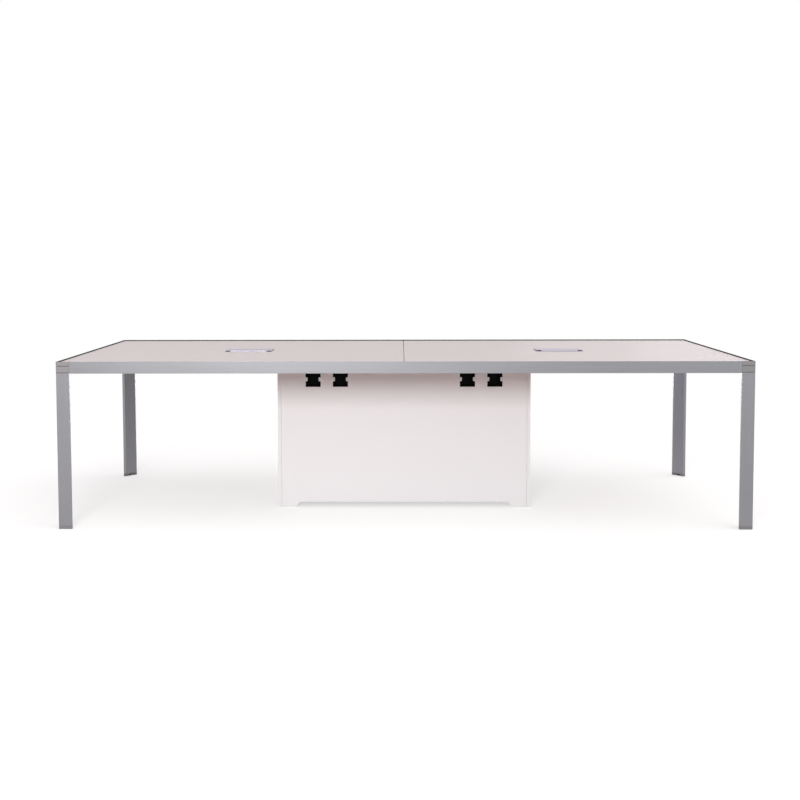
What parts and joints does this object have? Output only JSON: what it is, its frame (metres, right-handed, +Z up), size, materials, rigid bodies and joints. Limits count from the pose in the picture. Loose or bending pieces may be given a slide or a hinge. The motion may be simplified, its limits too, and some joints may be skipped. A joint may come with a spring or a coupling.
{
  "type": "conference table",
  "caption": "Long rectangular conference table: pale boards in a silver frame on corner legs, flip-top cable ports, and a white cable box with open socket boxes under the middle.",
  "frame": {"origin": "on the floor, under the middle of the table", "axes": "+X along the table's length, +Z up, -Y towards the side with the sockets"},
  "size_m": [3, 1.2, 0.73],
  "materials": {
    "silver_frame": "satin silver anodised extrusion",
    "corner_casting": "satin grey paint on a metal casting",
    "table_laminate": "pale warm-grey laminate on board, satin",
    "white_panel": "white laminate on board, satin",
    "grey_cap": "moulded, matte grey",
    "black_foot": "moulded, matte black",
    "black_plastic": "moulded, matte black",
    "zinc_steel": "zinc plated",
    "lid_aluminium": "fine brushed, light silver anodised"
  },
  "bodies": {
    "table": {"rail_front": "silver_frame", "rail_rear": "silver_frame", "rail_left": "silver_frame", "rail_right": "silver_frame", "corner_front_left": "corner_casting", "corner_front_right": "corner_casting", "corner_rear_left": "corner_casting", "corner_rear_right": "corner_casting", "leg_front_left": "silver_frame", "leg_front_right": "silver_frame", "leg_rear_left": "silver_frame", "leg_rear_right": "silver_frame", "foot_cap_front_left": "grey_cap", "foot_cap_front_right": "grey_cap", "foot_cap_rear_left": "grey_cap", "foot_cap_rear_right": "grey_cap", "leg_bolt_front_left": "zinc_steel", "leg_bolt_front_right": "zinc_steel", "leg_bolt_rear_left": "zinc_steel", "leg_bolt_rear_right": "zinc_steel", "top_board_left": "table_laminate", "top_board_right": "table_laminate", "beam_left": "silver_frame", "beam_centre": "silver_frame", "beam_right": "silver_frame", "box_front_panel": "white_panel", "box_rear_panel": "white_panel", "box_side_left": "white_panel", "box_side_right": "white_panel", "box_floor": "white_panel", "box_bracket_front_left": "zinc_steel", "box_bracket_front_right": "zinc_steel", "box_bracket_rear_left": "zinc_steel", "box_bracket_rear_right": "zinc_steel", "socket_box_1": "black_plastic", "socket_lug_1_left": "zinc_steel", "socket_lug_1_right": "zinc_steel", "socket_box_2": "black_plastic", "socket_lug_2_left": "zinc_steel", "socket_lug_2_right": "zinc_steel", "socket_box_3": "black_plastic", "socket_lug_3_left": "zinc_steel", "socket_lug_3_right": "zinc_steel", "socket_box_4": "black_plastic", "socket_lug_4_left": "zinc_steel", "socket_lug_4_right": "zinc_steel", "port_frame_left": "black_plastic", "port_hinge_rod_left": "zinc_steel", "port_tray_left": "black_plastic", "port_frame_right": "black_plastic", "port_hinge_rod_right": "zinc_steel", "port_tray_right": "black_plastic"},
    "foot_front_left": {"levelling_foot_front_left": "black_foot"},
    "foot_front_right": {"levelling_foot_front_right": "black_foot"},
    "foot_rear_left": {"levelling_foot_rear_left": "black_foot"},
    "foot_rear_right": {"levelling_foot_rear_right": "black_foot"},
    "lid_left": {"port_lid_left": "lid_aluminium"},
    "lid_right": {"port_lid_right": "lid_aluminium"}
  },
  "joints": [
    {"name": "lid_left_hinge", "type": "hinge", "parent": "table", "child": "lid_left", "pos_m": [-0.742, 0.042, 0.7265], "axis": [-1, 0, 0], "range_deg": [0, 100]},
    {"name": "lid_right_hinge", "type": "hinge", "parent": "table", "child": "lid_right", "pos_m": [0.742, 0.042, 0.7265], "axis": [-1, 0, 0], "range_deg": [0, 100]},
    {"name": "foot_front_left_screw", "type": "slide", "parent": "table", "child": "foot_front_left", "axis": [0, 0, -1], "range_m": [0, 0.015]},
    {"name": "foot_front_right_screw", "type": "slide", "parent": "table", "child": "foot_front_right", "axis": [0, 0, -1], "range_m": [0, 0.015]},
    {"name": "foot_rear_left_screw", "type": "slide", "parent": "table", "child": "foot_rear_left", "axis": [0, 0, -1], "range_m": [0, 0.015]},
    {"name": "foot_rear_right_screw", "type": "slide", "parent": "table", "child": "foot_rear_right", "axis": [0, 0, -1], "range_m": [0, 0.015]}
  ]
}
